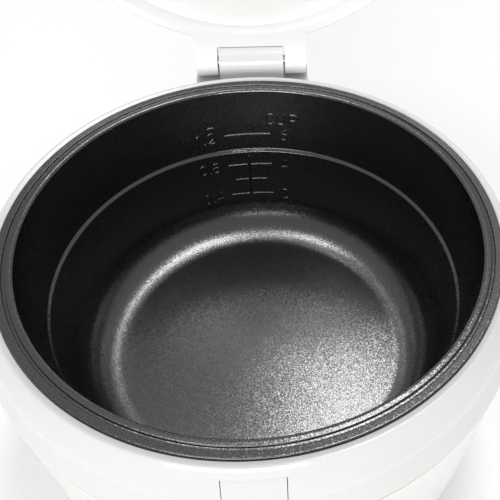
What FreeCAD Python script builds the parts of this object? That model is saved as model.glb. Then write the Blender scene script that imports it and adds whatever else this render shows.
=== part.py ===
import FreeCAD, Part
import math
import os
import Sketcher

# Hinged-lid rice cooker with its lid open, in millimetres.
# Origin: on the floor under the centre of the inner pot.  +Z up, the front (release button) towards
# -Y, the lid's hinge towards +Y.  The lid is drawn closed, then turned to its open stop.

doc = FreeCAD.newDocument("RiceCooker")
sheet = doc.addObject("Spreadsheet::Sheet", "Sizes")
sheet_row = 0
sub_parts = []


# ---------------------------------------------------------------- sizes
class Size:
    """A length or angle with the formula that reads it from the sheet."""

    def __init__(self, value, formula):
        self.value = float(value)
        self.formula = formula

    def joined(self, other, sign, value):
        return Size(value, f"({self.formula} {sign} {other.formula})")

    def __add__(self, other):
        other = as_size(other)
        return self.joined(other, "+", self.value + other.value)

    def __sub__(self, other):
        other = as_size(other)
        return self.joined(other, "-", self.value - other.value)

    def __mul__(self, other):
        other = as_size(other)
        return self.joined(other, "*", self.value * other.value)

    def __neg__(self):
        return Size(-self.value, f"(0 - {self.formula})")


def as_size(number):
    """A plain number as a Size, so that both can stand in one formula."""
    return number if isinstance(number, Size) else Size(number, f"{float(number):g}")


def size(alias, value, note):
    """Write one driving dimension to the sheet and return it."""
    global sheet_row
    sheet_row += 1
    sheet.set(f"A{sheet_row}", note)
    sheet.set(f"B{sheet_row}", f"{value}")
    sheet.setAlias(f"B{sheet_row}", alias)
    return Size(value, f"Sizes.{alias}")


rim_z = size("rim_height", 134, "top of the pot's flange above the floor")
pot_rim_r = size("pot_rim_radius", 100.5, "outer radius of the pot's flange")
pot_groove_r = size("pot_groove_radius", 96, "radius of the groove in the flange")
pot_mouth_r = size("pot_mouth_radius", 92.3, "inner radius at the pot's mouth")
pot_ledge_r = size("pot_ledge_radius", 85.8, "inner radius just under the pot's ledge")
pot_ledge_drop = size("pot_ledge_drop", 36.5, "ledge below the flange")
pot_floor_r = size("pot_floor_radius", 83, "inner radius of the pot at its floor")
pot_depth = size("pot_depth", 83, "pot's depth inside")
pot_round = size("pot_floor_round", 20, "radius between the pot's wall and floor")
pot_wall = size("pot_wall", 1.6, "pot's wall thickness")
crease_r = size("crease_radius", 108.6, "collar's radius at the crease")
crease_drop = size("crease_drop", 15.5, "crease below the flange")
band_r = size("band_radius", 111, "collar's largest radius, at its lower edge")
band_drop = size("band_drop", 27, "collar's lower edge below the flange")
liner_r = size("liner_radius", 96.2, "inner radius of the liner")
body_r = size("body_radius", 109.4, "outer radius of the lower body at its top")
body_waist_r = size("body_waist_radius", 108.1, "outer radius of the lower body half way down")
body_foot_r = size("body_foot_radius", 103.8, "outer radius of the lower body near the floor")
body_wall = size("body_wall", 2.5, "thickness of the plastic walls")
lid_r = size("lid_radius", 109.5, "outer radius of the lid")
lid_gap = size("lid_drop", 3, "lid's sealing face below the flange when closed")
lid_top = size("lid_top", 38, "top of the closed lid above the flange")
hinge_y = size("hinge_y", 119.5, "hinge axis behind the pot's axis")
hinge_drop = size("hinge_drop", 1, "hinge axis below the flange")
open_angle = size("open_angle", 102, "lid's opening, from closed to its stop")
barrel_r = size("barrel_radius", 8, "radius of the housing's hinge barrel")
knuckle_r = size("knuckle_radius", 7, "radius of the lid arms' knuckles")
barrel_half = size("barrel_half", 16.3, "half the barrel's width")
arm_in = size("arm_inner", 17.2, "inner face of each lid arm")
arm_out = size("arm_outer", 28, "outer face of each lid arm")
pin_r = size("pin_radius", 2.5, "hinge pin's radius")
running = size("running_gap", 0.05, "radial clearance of a running fit")
clear = size("clearance", 0.3, "gap between pieces that move apart")
button_half = size("button_half", 10.2, "half the release button's width")
disc_r = size("inner_lid_radius", 82.5, "outer radius of the inner lid's plate")
plate_r = size("plate_radius", 68, "outer radius of the heating plate")
cup_r = size("sensor_radius", 17.5, "outer radius of the sensor cup")
base_z = size("base_height", 4.5, "underside of the bottom cover above the floor")
lever_y = size("lever_pivot", -82, "cook lever's pivot in front of the pot's axis")
lever_z = size("lever_height", 19, "cook lever's pivot above the floor")
hinge_z = rim_z - hinge_drop
seal_z = rim_z - lid_gap
ELEMENT_TURN = 330
AXIS_X = FreeCAD.Vector(1, 0, 0)
AXIS_Y = FreeCAD.Vector(0, 1, 0)
AXIS_Z = FreeCAD.Vector(0, 0, 1)


# ---------------------------------------------------------------- tools
def bind(item, name, amount):
    """Bind a property to the sheet through a formula."""
    item.setExpression(name, as_size(amount).formula)


def keep(item, label, placement=None):
    """Name a finished sub-part, put it in place and list it for writing."""
    item.Label = label
    if placement is not None:
        item.Placement = placement
    sub_parts.append(item)
    return item


def arc_through(start, end, radius, turn):
    """The arc of a radius from start to end; turn is 1 when it runs counter-clockwise."""
    chord = end - start
    height = math.sqrt(radius**2 - chord.Length**2 / 4)
    left = FreeCAD.Vector(-chord.y, chord.x, 0).normalize()
    centre = start + chord * 0.5 + left * height * turn
    angle = [math.atan2(point.y - centre.y, point.x - centre.x) for point in (start, end)]
    first, last = angle if turn > 0 else angle[::-1]
    circle = Part.Circle(centre, FreeCAD.Vector(0, 0, 1), radius)
    return Part.ArcOfCircle(circle, first, last if last > first else last + 2 * math.pi)


def outline(body, name, corners, plane="XZ_Plane"):
    """A closed sketch.  A corner is (across, up), or (across, up, radius, turn) after an arc."""
    sketch = body.newObject("Sketcher::SketchObject", name)
    origin_plane = [item for item in body.Origin.OriginFeatures if item.Role == plane][0]
    sketch.AttachmentSupport = (origin_plane, "")
    sketch.MapMode = "FlatFace"
    points = [FreeCAD.Vector(as_size(c[0]).value, as_size(c[1]).value, 0) for c in corners]
    ends = []
    for index, corner in enumerate(corners):
        start, end = points[index - 1], points[index]
        if len(corner) == 4:
            turn = corner[3]
            edge = sketch.addGeometry(arc_through(start, end, as_size(corner[2]).value, turn))
            ends.append((edge, 1, 2) if turn > 0 else (edge, 2, 1))
            number = sketch.addConstraint(
                Sketcher.Constraint("Radius", edge, as_size(corner[2]).value))
            bind(sketch, f"Constraints[{number}]", corner[2])
        else:
            ends.append((sketch.addGeometry(Part.LineSegment(start, end)), 1, 2))
    for index, corner in enumerate(corners):
        edge, _, last = ends[index]
        following, first, _ = ends[(index + 1) % len(ends)]
        sketch.addConstraint(Sketcher.Constraint("Coincident", edge, last, following, first))
        for kind, amount in (("DistanceX", corner[0]), ("DistanceY", corner[1])):
            place = as_size(amount)
            number = sketch.addConstraint(
                Sketcher.Constraint(kind, -1, 1, edge, last, place.value))
            bind(sketch, f"Constraints[{number}]", place)
    return sketch


def turned(name, corners, angle=360, rounds=()):
    """A body turned about the Z axis from a half section, with some of its corners rounded."""
    body = doc.addObject("PartDesign::Body", name + "_body")
    sketch = outline(body, name + "_section", corners)
    turn = body.newObject("PartDesign::Revolution", name + "_turn")
    turn.Profile = sketch
    turn.ReferenceAxis = (sketch, ["V_Axis"])
    turn.Angle = angle
    turn.Midplane = angle != 360
    doc.recompute()
    feature = turn
    for index, (corner, radius) in enumerate(rounds):
        across, up = as_size(corners[corner][0]).value, as_size(corners[corner][1]).value
        edges = [f"Edge{number}" for number, edge in enumerate(feature.Shape.Edges, 1)
                 if isinstance(edge.Curve, Part.Circle)
                 and abs(edge.Curve.Radius - across) < 0.01
                 and abs(edge.Curve.Center.z - up) < 0.01]
        fillet = body.newObject("PartDesign::Fillet", f"{name}_round{index}")
        fillet.Base = (feature, edges)
        bind(fillet, "Radius", radius)
        doc.recompute()
        feature = fillet
    return body


def box(name, across, along, up):
    """A box between (low, high) limits along X, Y and Z."""
    item = doc.addObject("Part::Box", name)
    limits = ((across, "Length", "x"), (along, "Width", "y"), (up, "Height", "z"))
    for (low, high), length, letter in limits:
        bind(item, length, as_size(high) - low)
        bind(item, f"Placement.Base.{letter}", low)
    return item


def rod(name, radius, low, high, axis=AXIS_Z, at=(0, 0)):
    """A round bar along X, Y or Z; at is its place on the other two axes in X, Y, Z order."""
    item = doc.addObject("Part::Cylinder", name)
    item.Placement.Rotation = FreeCAD.Rotation(AXIS_Z, axis)
    bind(item, "Radius", radius)
    bind(item, "Height", as_size(high) - low)
    letters = "xyz"["XYZ".index("X" if axis.x else "Y" if axis.y else "Z")]
    others = [letter for letter in "xyz" if letter != letters]
    bind(item, f"Placement.Base.{letters}", low)
    for letter, place in zip(others, at):
        bind(item, f"Placement.Base.{letter}", place)
    return item


def fuse(name, *items):
    joined = doc.addObject("Part::MultiFuse", name)
    joined.Shapes = list(items)
    return joined


def cut(name, base, *tools):
    result = doc.addObject("Part::Cut", name)
    result.Base = base
    result.Tool = tools[0] if len(tools) == 1 else fuse(name + "_tools", *tools)
    return result


def common(name, base, tool):
    result = doc.addObject("Part::Common", name)
    result.Base = base
    result.Tool = tool
    return result


def coil(name, radius, wire, length, turns):
    """A compression spring standing on its own origin along Z."""
    helix = Part.makeHelix((length - wire) / turns, length - wire, radius)
    helix.translate(FreeCAD.Vector(0, 0, wire / 2))
    start = helix.Edges[0].firstVertex().Point
    section = Part.Wire([Part.makeCircle(wire / 2, start, AXIS_Y)])
    spring = doc.addObject("Part::Feature", name)
    spring.Shape = Part.Wire(helix.Edges).makePipeShell([section], True, True)
    return spring


def spokes(name, make, count, first=0):
    """One node of separate solids: make(name) repeated about the Z axis."""
    copies = []
    for index in range(count):
        item = make(f"{name}_{index + 1}")
        doc.recompute()
        turn = FreeCAD.Rotation(AXIS_Z, first + index * 360 / count)
        holder = doc.addObject("Part::Compound", f"{name}_{index + 1}_turned")
        holder.Links = [item]
        holder.Placement = FreeCAD.Placement(FreeCAD.Vector(), turn)
        copies.append(holder)
    group = doc.addObject("Part::Compound", name)
    group.Links = copies
    return group


FRONT = FreeCAD.Placement(FreeCAD.Vector(), FreeCAD.Rotation(AXIS_Z, -90))
OPEN = FreeCAD.Placement(
    FreeCAD.Vector(), FreeCAD.Rotation(AXIS_X, -open_angle.value),
    FreeCAD.Vector(0, hinge_y.value, hinge_z.value))


# ---------------------------------------------------------------- inner pot
def build_pot():
    floor_z = rim_z - pot_depth
    ledge_z = rim_z - pot_ledge_drop
    under = pot_wall + 0.6
    corners = [
        (0, floor_z + 0.4),
        (pot_floor_r, floor_z - 0.4),
        (pot_ledge_r, ledge_z),
        (pot_ledge_r + 2.8, ledge_z + 2.8),
        (pot_mouth_r, rim_z - 4),
        (pot_mouth_r + 1.4, rim_z - 0.7),
        (pot_groove_r - 0.7, rim_z),
        (pot_groove_r - 0.4, rim_z - 0.9),
        (pot_groove_r + 0.4, rim_z - 0.9),
        (pot_groove_r + 0.7, rim_z),
        (pot_rim_r, rim_z - 0.2),
        (pot_rim_r, rim_z - under),
        (pot_mouth_r + 2.6, rim_z - under),
        (pot_mouth_r + 1.7, rim_z - 4.6),
        (pot_ledge_r + 2.8 + pot_wall, ledge_z + 2.2),
        (pot_ledge_r + pot_wall, ledge_z - 0.8),
        (pot_floor_r + pot_wall, floor_z - 2),
        (0, floor_z - 2),
    ]
    rounds = [(1, pot_round), (16, pot_round + pot_wall), (2, 1.5), (3, 1.5)]
    keep(turned("pot", corners, rounds=rounds), "inner_pot")


# ---------------------------------------------------------------- collar, body and base
def build_collar():
    ledge_z = rim_z - pot_wall - 0.6 - clear
    spigot_r = body_r - body_wall - clear
    corners = [
        (liner_r + 1.6, ledge_z),
        (pot_rim_r + 0.6, ledge_z),
        (pot_rim_r + 0.6, rim_z),
        (pot_rim_r + 1, rim_z + 0.3),
        (pot_rim_r + 2.1, rim_z + 0.3),
        (pot_rim_r + 3.1, rim_z - 0.8),
        (crease_r, rim_z - crease_drop, 30, -1),
        (band_r, rim_z - band_drop),
        (band_r - 0.4, rim_z - band_drop - 1),
        (spigot_r, rim_z - band_drop - 1),
        (spigot_r, rim_z - band_drop - 6),
        (spigot_r - 2, rim_z - band_drop - 6),
        (spigot_r - 2, rim_z - band_drop + 1),
        (crease_r - 2.6, rim_z - crease_drop),
        (pot_rim_r + 1.4, rim_z - 5),
        (liner_r + 1.6, rim_z - 5),
    ]
    blank = turned("collar", corners)
    pocket = box("button_pocket", (-button_half - 0.5, button_half + 0.5),
                 (-band_r - 3, -pot_rim_r - 0.9),
                 (rim_z - band_drop + 0.4, rim_z - 3.2))
    tall = (rim_z - band_drop, rim_z - 7)
    seat = box("spring_seat", (-button_half - 2, button_half + 2),
               (-liner_r - 3.4, -liner_r - 2), tall)
    cheeks = [box(f"seat_cheek{index}", limits, (-crease_r + 2.2, -liner_r - 2), tall)
              for index, limits in enumerate(((-button_half - 2, -button_half - 0.5),
                                              (button_half + 0.5, button_half + 2)))]
    keep(fuse("collar_all", cut("collar_pocketed", blank, pocket), seat, *cheeks), "top_collar")


def build_button():
    corners = [
        (pot_rim_r + 4.2, rim_z - 3.6),
        (crease_r, rim_z - crease_drop, 30, -1),
        (band_r - 0.1, rim_z - band_drop + 0.8),
        (band_r - 4, rim_z - band_drop + 0.8),
        (crease_r - 4, rim_z - crease_drop),
        (pot_rim_r + 3.6, rim_z - 3.6),
    ]
    blank = turned("button_ring", corners)
    slab = box("button_slab", (-button_half, button_half), (-band_r - 2, -pot_rim_r),
               (rim_z - band_drop, rim_z - 3))
    thumb = rod("button_thumb", 6.5, -band_r - 5, -crease_r + 1.6, AXIS_Y,
                (0, rim_z - crease_drop - 3.6))
    keep(cut("button_dished", common("button_piece", blank, slab), thumb), "release_button")
    spring = coil("button_coil", 2.2, 0.5, 4.9, 3.5)
    place = FreeCAD.Vector(0, -liner_r.value - 3.4, rim_z.value - 16)
    spring.Placement = FreeCAD.Placement(place, FreeCAD.Rotation(AXIS_X, 90))
    keep(spring, "release_spring", spring.Placement)


def build_body():
    top_z = rim_z - band_drop - 1.3
    corners = [
        (body_r, top_z),
        (body_waist_r, 57),
        (body_foot_r, 14, 260, -1),
        (body_foot_r - 5.2, 8),
        (body_foot_r - 5.2, 10.6),
        (body_foot_r - body_wall, 15),
        (body_waist_r - body_wall, 57, 257, 1),
        (body_r - body_wall, top_z),
    ]
    shell = turned("body_shell", corners)
    lever_slot = box("lever_slot", (-8.6, 8.6), (-body_r, -88), (11, 31))
    inlet_hole = box("inlet_hole", (-15.6, 15.6), (88, body_r), (15.4, 33.6))
    lamp_holes = [rod(f"lamp_hole{side}", 3, -body_r, -88, AXIS_Y, (side, 52)) for side in (-12, 12)]
    posts = spokes("body_posts", screw_post, 4, 45)
    opened = cut("body_opened", shell, lever_slot, inlet_hole, *lamp_holes)
    keep(fuse("body_all", opened, posts), "outer_body")


def screw_post(name):
    """A screw post on the wall, with a hole from below."""
    post = rod(name + "_post", 4, base_z + 2.8, 30, at=(90, 0))
    rib = box(name + "_rib", (92, body_foot_r - 1.5), (-1.2, 1.2), (16, 30))
    return cut(name, fuse(name + "_solid", post, rib),
               rod(name + "_hole", 1.5, base_z, 20, at=(90, 0)))


def build_base():
    corners = [
        (0, base_z), (96, base_z), (body_foot_r - 5.6, base_z + 2.4),
        (body_foot_r - 5.6, base_z + 7.5), (body_foot_r - 7.6, base_z + 7.5),
        (body_foot_r - 7.6, base_z + 2.5), (0, base_z + 2.5),
    ]
    holes = spokes("cover_holes", lambda name: rod(name, 1.7, 0, 12, at=(90, 0)), 4, 45)
    keep(cut("cover_all", turned("cover", corners), holes), "bottom_cover")
    keep(turned("foot", [(76, 0), (84, 0), (84, base_z), (76, base_z)]), "foot_ring")
    keep(spokes("screws", base_screw, 4, 45), "base_screws")


def base_screw(name):
    head = rod(name + "_head", 3, base_z - 1.8, base_z, at=(90, 0))
    shank = rod(name + "_shank", 1.45, base_z - 0.5, 19, at=(90, 0))
    return fuse(name, head, shank)


# ---------------------------------------------------------------- liner and heater
def build_liner():
    top_z = rim_z - 5.4
    floor_z = 35
    wall = 0.8
    corners = [
        (liner_r + 4.2, top_z), (liner_r, top_z), (liner_r, as_size(floor_z) + wall),
        (24, as_size(floor_z) + wall), (24, floor_z), (liner_r + wall, floor_z),
        (liner_r + wall, top_z - wall), (liner_r + 4.2, top_z - wall),
    ]
    rounds = [(2, 6), (5, 6.8)]
    lead_holes = [rod(f"liner_hole{index}", 3.5, 30, 40, at=at)
                  for index, at in enumerate(lead_places())]
    keep(cut("liner_all", turned("liner", corners, rounds=rounds), *lead_holes), "liner")
    band = [(liner_r + 0.85, 59), (liner_r + 1.7, 59), (liner_r + 1.7, 84), (liner_r + 0.85, 84)]
    keep(turned("band", band), "side_heater_band")


def lead_places():
    """Where the element's two ends stand, on its ring."""
    reach = plate_r.value * 0.72
    return [(reach * math.cos(math.radians(turn)), reach * math.sin(math.radians(turn)))
            for turn in (0, ELEMENT_TURN)]


def build_heater():
    under_z = 41
    blank = turned("plate", [(19.5, under_z), (plate_r, under_z), (plate_r, 47.4), (plate_r - 4, 48.5),
                             (19.5, 48.5)])
    groove = doc.addObject("Part::Torus", "plate_groove")
    bind(groove, "Radius1", plate_r * 0.72)
    bind(groove, "Radius2", 3.3)
    bind(groove, "Placement.Base.z", under_z)
    keep(cut("plate_grooved", blank, groove), "heating_plate")
    tube = doc.addObject("Part::Torus", "element_ring")
    bind(tube, "Radius1", plate_r * 0.72)
    bind(tube, "Radius2", 3.2)
    bind(tube, "Angle3", ELEMENT_TURN)
    bind(tube, "Placement.Base.z", under_z)
    leads = [rod(f"element_lead{index}", 2, 33, under_z, at=at)
             for index, at in enumerate(lead_places())]
    keep(fuse("element_all", tube, *leads), "heater_element")
    keep(spokes("spacers", lambda name: rod(name, 4, 35.85, under_z, at=(60, 0)), 3, 100),
         "plate_spacers")
    shield = [(25, 30), (84, 30), (86, 33), (85.2, 33), (83.4, 30.8), (25, 30.8)]
    leads_gap = box("shield_gap", (38, 60), (-32, 8), (28, 35))
    keep(cut("shield_cut", turned("shield", shield), leads_gap), "heat_shield")
    fuse_body = rod("fuse_body", 2, 26, 38, AXIS_X, (40, 27))
    fuse_leads = rod("fuse_leads", 0.5, 20, 46, AXIS_X, (40, 27))
    keep(fuse("fuse_all", fuse_body, fuse_leads), "thermal_fuse")


def build_sensor():
    top_z = rim_z - pot_depth - 2 - clear
    cup = [(0, top_z), (cup_r - 1.2, top_z), (cup_r, top_z - 1.2), (cup_r, top_z - 12),
           (cup_r - 0.9, top_z - 12), (cup_r - 0.9, top_z - 1.4), (0, top_z - 1)]
    keep(turned("cup", cup), "sensor_cup")
    seat_z = 30.8
    bracket = [(6.3, seat_z - 1.2), (22, seat_z - 1.2), (22, seat_z), (7.5, seat_z), (7.5, 40),
               (6.3, 40)]
    strut = box("bracket_strut", (-32, 32), (12, 20), (seat_z - 2.4, seat_z - 1.2))
    keep(fuse("bracket_all", turned("bracket", bracket), strut), "sensor_bracket")
    spring = coil("sensor_coil", 12, 1.1, top_z.value - 1.4 - seat_z - 0.1, 3.5)
    seat = FreeCAD.Vector(0, 0, seat_z + 0.1)
    keep(spring, "sensor_spring", FreeCAD.Placement(seat, FreeCAD.Rotation()))
    keep(fuse("magnet_all", rod("magnet_core", 6, 25, 35), rod("magnet_stem", 3, 21, 25.5)),
         "magnet_rod")


# ---------------------------------------------------------------- cook lever, lamps and wiring
def build_lever():
    arm = box("lever_arm", (-3, 3), (-110, 2), (lever_z - 1.5, lever_z + 1.5))
    eye = rod("lever_eye", 4.5, -3, 3, AXIS_X, (lever_y, lever_z))
    paddle = box("lever_paddle", (-8, 8), (-114, -109), (14, 28))
    hole = rod("lever_hole", pin_r - 0.5 + running, -5, 5, AXIS_X, (lever_y, lever_z))
    keep(cut("lever_all", fuse("lever_solid", arm, eye, paddle), hole), "cook_lever")
    keep(rod("lever_axle", pin_r - 0.5, -12, 12, AXIS_X, (lever_y, lever_z)), "lever_pin")
    cheeks = [box(f"cheek{side}", (low, high), (lever_y - 5, lever_y + 5), (base_z + 2.5, lever_z + 5))
              for side, low, high in ((0, -7.5, -4.5), (1, 4.5, 7.5))]
    bore = rod("cheek_bore", pin_r - 0.5, -20, 20, AXIS_X, (lever_y, lever_z))
    keep(cut("cheeks_bored", fuse("cheeks", *cheeks), bore), "lever_bracket")
    switch = box("switch_case", (14, 24), (-62, -42), (base_z + 2.5, 22))
    keep(fuse("switch_all", switch, box("switch_tab", (4.5, 14), (-54, -50), (13, 14))),
         "cook_switch")


def build_front():
    for side, label in ((-12, "cook_lamp"), (12, "warm_lamp")):
        lens = fuse(label + "_all", rod(label + "_lens", 2.9, -109.2, -100, AXIS_Y, (side, 52)),
                    rod(label + "_flange", 4, -103.5, -101.5, AXIS_Y, (side, 52)))
        keep(lens, label)
    keep(box("board", (-22, 22), (-99.6, -98.2), (40, 58)), "lamp_board")
    plate = turned("plate_front", [(110.2, 36), (110.2, 64), (107.4, 64), (107.4, 36)], angle=32)
    plate.Placement = FRONT
    holes = [rod(f"plate_hole{side}", 3, -112, -100, AXIS_Y, (side, 52)) for side in (-12, 12)]
    skin = rod("plate_back", body_waist_r + 0.25, 30, 70)
    keep(cut("plate_trimmed", plate, skin, *holes), "control_plate")


def build_power():
    case = box("inlet_case", (-15, 15), (88, 107), (16, 33))
    socket = box("inlet_socket", (-12, 12), (91, 109), (18.5, 30.5))
    holes = [rod(f"inlet_bore{side}", 1.2, 80, 95, AXIS_Y, (side, 24.5)) for side in (-5, 5)]
    keep(cut("inlet_all", case, socket, *holes), "power_inlet")
    pins = [rod(f"inlet_pin{side}", 1.2, 86, 99, AXIS_Y, (side, 24.5)) for side in (-5, 5)]
    keep(fuse("pins_all", *pins), "inlet_pins")
    keep(box("terminals", (-42, -18), (30, 44), (base_z + 2.5, 18)), "terminal_block")


# ---------------------------------------------------------------- hinge
def build_hinge():
    deck_z = hinge_z - knuckle_r - 1.2
    hump = box("hump", (-arm_out - 1, arm_out + 1), (96, hinge_y + 9), (66, deck_z))
    slope = doc.addObject("Part::Wedge", "hump_slope")
    for name, amount in (("Xmin", -arm_out - 3), ("Xmax", arm_out + 3), ("X2min", -arm_out - 3),
                         ("X2max", arm_out + 3), ("Ymin", 108), ("Ymax", hinge_y + 10),
                         ("Zmin", 60), ("Zmax", 66), ("Z2min", 60), ("Z2max", 92)):
        bind(slope, name, amount)
    inside = rod("hump_inside", band_r + 0.2, 60, 140)
    block = fuse("barrel_block", rod("barrel", barrel_r, -barrel_half, barrel_half, AXIS_X,
                                     (hinge_y, hinge_z)),
                 box("barrel_foot", (-barrel_half, barrel_half), (hinge_y - barrel_r, hinge_y + barrel_r),
                     (deck_z - 2, hinge_z)))
    cavity = rod("barrel_cavity", 6, -9, 9, AXIS_X, (hinge_y, hinge_z))
    bore = rod("barrel_bore", pin_r, -30, 30, AXIS_X, (hinge_y, hinge_z))
    keep(cut("hinge_all", fuse("hinge_solid", cut("hump_cut", hump, inside, slope), block),
             cavity, bore), "hinge_housing")
    keep(rod("hinge_axle", pin_r, -arm_out + 0.6, arm_out - 0.6, AXIS_X, (hinge_y, hinge_z)),
         "hinge_pin")
    spring = coil("lid_coil", 4.2, 1.1, 17, 10)
    place = FreeCAD.Vector(-8.5, hinge_y.value, hinge_z.value)
    keep(spring, "lid_spring", FreeCAD.Placement(place, FreeCAD.Rotation(AXIS_Y, 90)))


# ---------------------------------------------------------------- lid
def build_lid_frame():
    web_z = seal_z + 7.5
    corners = [
        (0, web_z), (103, web_z), (105.5, seal_z), (lid_r - 0.8, seal_z), (lid_r, seal_z + 0.8),
        (lid_r, seal_z + 10), (lid_r - 2.2, seal_z + 10), (lid_r - 2.2, seal_z + 2.4),
        (107, seal_z + 2.4), (105, web_z + 2), (0, web_z + 2),
    ]
    bowl = turned("frame_bowl", corners)
    tongue = box("frame_tongue", (-5.5, 5.5), (-band_r - 1.8, -lid_r - 0.1),
                 (rim_z - crease_drop - 1.6, seal_z + 9))
    root = box("frame_tongue_root", (-5.5, 5.5), (-lid_r - 0.2, -lid_r + 1.5),
               (seal_z + 1.5, seal_z + 9))
    ear = box("frame_ear", (-arm_out, arm_out), (100, hinge_y), (seal_z, seal_z + 3))
    arms = []
    for side in (-1, 1):
        limits = (arm_in, arm_out) if side > 0 else (-arm_out, -arm_in)
        arms.append(box(f"frame_arm{side}", limits, (104, hinge_y), (seal_z, seal_z + 8)))
        arms.append(rod(f"frame_knuckle{side}", knuckle_r, *limits, AXIS_X, (hinge_y, hinge_z)))
    recess = fuse("frame_recess", rod("frame_dish", 104.8, seal_z + 3.1, 140),
                  rod("frame_barrel_gap", barrel_r + 0.4, -arm_in, arm_in, AXIS_X,
                      (hinge_y, hinge_z)))
    hinge_part = cut("frame_ear_cut", fuse("frame_hinge_part", ear, *arms), recess)
    inner = rod("frame_mouth", 105.2, 120, seal_z + 3.1)
    bore = rod("frame_bore", pin_r + running, -30, 30, AXIS_X, (hinge_y, hinge_z))
    duct_hole = rod("frame_duct_hole", 4, 130, 145, at=(0, 45))
    post_holes = spokes("frame_holes", lambda name: rod(name, 1.7, 130, 150, at=(97, 0)), 4, 45)
    keep(cut("frame_all", fuse("frame_solid", bowl, tongue, root,
                               cut("frame_hinge_cut", hinge_part, inner)),
             bore, duct_hole, post_holes), "lid_frame", OPEN)


def build_lid_cover():
    low_z = seal_z + 10.3
    crown = rim_z + lid_top
    corners = [
        (0, crown), (100, crown - 8, 629, -1), (lid_r, crown - 20, 15, -1),
        (lid_r, low_z), (lid_r - 2.5, low_z), (lid_r - 2.5, crown - 20),
        (99, crown - 10.4, 12.5, 1), (0, crown - 2.5, 624.3, 1),
    ]
    shell = turned("cover_shell", corners)
    posts = spokes("cover_posts", lid_post, 4, 45)
    well = rod("cover_well", 18, 150, 190, at=(0, 45))
    keep(cut("lid_cover_all", fuse("lid_cover_solid", shell, posts), well), "lid_cover", OPEN)


def lid_post(name):
    top_z = rim_z + lid_top - 10.8
    return cut(name, rod(name + "_post", 4, seal_z + 10, top_z, at=(97, 0)),
               rod(name + "_hole", 1.5, 130, top_z - 4, at=(97, 0)))


def build_lid_fittings():
    web_z = seal_z + 7.5
    keep(spokes("lid_screw_set", lid_screw, 4, 45), "lid_screws", OPEN)
    disc = [(5, web_z - 3.4), (disc_r - 10.5, web_z - 3.4), (disc_r - 2.5, web_z - 1.6),
            (disc_r, web_z - 1.6), (disc_r, web_z - 0.8), (disc_r - 2.9, web_z - 0.8),
            (disc_r - 10.9, web_z - 2.6), (5, web_z - 2.6)]
    holes = spokes("steam_holes", lambda name: rod(name, 2, 120, 150, at=(22, 0)), 8)
    keep(cut("disc_all", turned("disc", disc), holes), "inner_lid", OPEN)
    lip = [(disc_r + 0.1, web_z - 2), (disc_r + 1.9, web_z - 2), (disc_r + 4.3, seal_z + 3.4),
           (disc_r + 4.9, seal_z + 3.9), (disc_r + 2.5, web_z - 0.4), (disc_r + 0.1, web_z - 0.4)]
    keep(turned("gasket", lip), "lid_gasket", OPEN)
    keep(fuse("knob_all", rod("knob_stem", 4.6, web_z - 4.4, web_z - clear),
              rod("knob_head", 7, web_z - 6, web_z - 3.7)), "inner_lid_knob", OPEN)
    duct = cut("duct_hollow", rod("duct_out", 17.6, web_z + 2, 164, at=(0, 45)),
               rod("duct_in", 16, web_z + 4, 190, at=(0, 45)),
               rod("duct_hole", 4, 130, 160, at=(0, 45)))
    keep(duct, "vent_duct", OPEN)
    cap = fuse("cap_solid", rod("cap_stem", 15.6, 158, 170, at=(0, 45)),
               rod("cap_top", 17.5, 170.9, 173.4, at=(0, 45)),
               rod("cap_neck", 15.6, 170, 171, at=(0, 45)))
    slots = [box(f"cap_slot{index}", (-9, 9), (39 + 5 * index, 41 + 5 * index), (150, 180))
             for index in range(3)]
    hollow = rod("cap_hollow", 14, 150, 169, at=(0, 45))
    keep(cut("cap_all", cap, hollow, *slots), "vent_cap", OPEN)


def lid_screw(name):
    web_z = seal_z + 7.5
    return fuse(name, rod(name + "_head", 3, web_z - 1.2, web_z, at=(97, 0)),
                rod(name + "_shank", 1.45, web_z - 0.5, web_z + 14, at=(97, 0)))


# ---------------------------------------------------------------- build and write
build_pot()
build_collar()
build_button()
build_body()
build_base()
build_liner()
build_heater()
build_sensor()
build_lever()
build_front()
build_power()
build_hinge()
build_lid_frame()
build_lid_cover()
build_lid_fittings()
doc.recompute()

for item in doc.Objects:
    if "Invalid" in item.State or "Error" in item.State:
        raise SystemExit(f"{item.Name} failed: {item.State}")
for item in sub_parts:
    if item.Shape.isNull() or not item.Shape.isValid() or item.Shape.Volume <= 0:
        raise SystemExit(f"{item.Label} has no valid solid")

os.makedirs("parts", exist_ok=True)
for item in sub_parts:
    item.Shape.exportStep(f"parts/{item.Label}.step")
    bounds = item.Shape.BoundBox
    print(f"{item.Label:18} {item.Shape.Volume / 1000:8.2f} cm3  {len(item.Shape.Solids)} solid(s)  "
          f"x {bounds.XMin:.1f} {bounds.XMax:.1f}  y {bounds.YMin:.1f} {bounds.YMax:.1f}  "
          f"z {bounds.ZMin:.1f} {bounds.ZMax:.1f}")
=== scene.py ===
import math

import bmesh
import bpy
from mathutils import Matrix, Vector


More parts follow.
